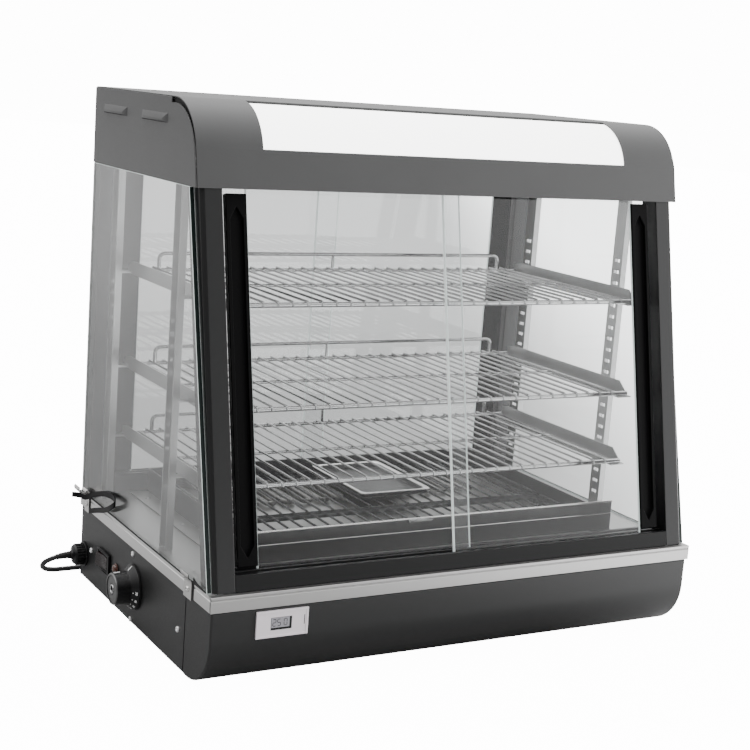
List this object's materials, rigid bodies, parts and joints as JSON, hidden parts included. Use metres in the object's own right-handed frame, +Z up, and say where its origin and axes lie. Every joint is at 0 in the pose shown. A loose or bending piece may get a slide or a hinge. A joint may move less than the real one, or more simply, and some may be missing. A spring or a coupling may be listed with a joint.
{
  "type": "heated food display case",
  "caption": "Countertop heated display case with leaning glass front, sliding glass doors, wire shelves, heater pan and side controls.",
  "frame": {"origin": "centre of the box of the case, its knob and its clips, at the height of the surface it stands on", "axes": "+X to the right seen from the front, +Y towards the back, +Z up"},
  "size_m": [0.7098, 0.5592, 0.6386],
  "materials": {
    "black_powder_coat": "satin black powder coat, slight orange peel",
    "black_frame": "satin black",
    "door_stile": "satin dark grey extrusion",
    "satin_steel": "satin stainless",
    "polished_steel": "polished stainless",
    "zinc_steel": "dull stainless",
    "chrome_wire": "bright plated wire",
    "heater_sheath": "dark heater sheath",
    "clear_glass": "clear with green edges",
    "white_diffuser": "translucent white",
    "black_plastic": "satin black moulding",
    "red_plastic": "translucent red",
    "white_plastic": "off-white moulding",
    "black_rubber": "matt black"
  },
  "bodies": {
    "case": {"base_shell": "black_powder_coat", "control_panel": "black_powder_coat", "side_cover": "black_powder_coat", "hood_sheet": "black_powder_coat", "hood_side_left": "black_powder_coat", "hood_side_right": "black_powder_coat", "front_post_left": "black_frame", "front_post_right": "black_frame", "front_track": "black_frame", "rear_post_left": "black_frame", "rear_post_right": "black_frame", "rear_track": "black_frame", "trim_strip": "satin_steel", "heater_box": "satin_steel", "ceiling_panel": "satin_steel", "deck": "polished_steel", "glass_clip_front": "polished_steel", "glass_clip_rear": "polished_steel", "upright_front_left": "zinc_steel", "upright_front_right": "zinc_steel", "upright_rear_left": "zinc_steel", "upright_rear_right": "zinc_steel", "bracket_1_left": "zinc_steel", "bracket_1_right": "zinc_steel", "bracket_2_left": "zinc_steel", "bracket_2_right": "zinc_steel", "bracket_3_left": "zinc_steel", "bracket_3_right": "zinc_steel", "shelf_1": "chrome_wire", "shelf_2": "chrome_wire", "shelf_3": "chrome_wire", "bottom_rack": "chrome_wire", "heating_element": "heater_sheath", "side_glass_left": "clear_glass", "side_glass_right": "clear_glass", "diffuser": "white_diffuser", "lamp_fixture": "white_diffuser", "thermostat": "black_plastic", "switch_body": "black_plastic", "gland": "black_plastic", "indicator_lamp": "red_plastic", "thermometer": "white_plastic", "foot_front_left": "black_rubber", "foot_front_right": "black_rubber", "foot_rear_left": "black_rubber", "foot_rear_right": "black_rubber", "cord_lead": "black_rubber", "cord_coil": "black_rubber", "plug": "black_rubber"},
    "front_right_door": {"front_right_glass": "clear_glass", "front_right_stile": "door_stile"},
    "front_left_door": {"front_left_glass": "clear_glass", "front_left_stile": "door_stile"},
    "rear_right_door": {"rear_right_glass": "clear_glass", "rear_right_stile": "door_stile"},
    "rear_left_door": {"rear_left_glass": "clear_glass", "rear_left_stile": "door_stile"},
    "knob": {"knob": "black_plastic"},
    "rocker": {"rocker": "red_plastic"},
    "water_tray": {"water_tray": "satin_steel"}
  },
  "joints": [
    {"name": "front_right_door_slide", "type": "slide", "parent": "case", "child": "front_right_door", "axis": [1, 0, 0], "range_m": [-0.28, 0]},
    {"name": "front_left_door_slide", "type": "slide", "parent": "case", "child": "front_left_door", "axis": [1, 0, 0], "range_m": [0, 0.28]},
    {"name": "rear_right_door_slide", "type": "slide", "parent": "case", "child": "rear_right_door", "axis": [1, 0, 0], "range_m": [-0.272, 0]},
    {"name": "rear_left_door_slide", "type": "slide", "parent": "case", "child": "rear_left_door", "axis": [1, 0, 0], "range_m": [0, 0.275]},
    {"name": "knob_turn", "type": "hinge", "parent": "case", "child": "knob", "pos_m": [-0.3146, 0.017, 0.052], "axis": [1, 0, 0], "range_deg": [0, 300]},
    {"name": "rocker_tilt", "type": "hinge", "parent": "case", "child": "rocker", "pos_m": [-0.3136, 0.121, 0.0515], "axis": [0, 0, 1], "range_deg": [-16, 0]},
    {"name": "water_tray_lift", "type": "slide", "parent": "case", "child": "water_tray", "axis": [0, 0, 1], "range_m": [0, 0.035]}
  ]
}
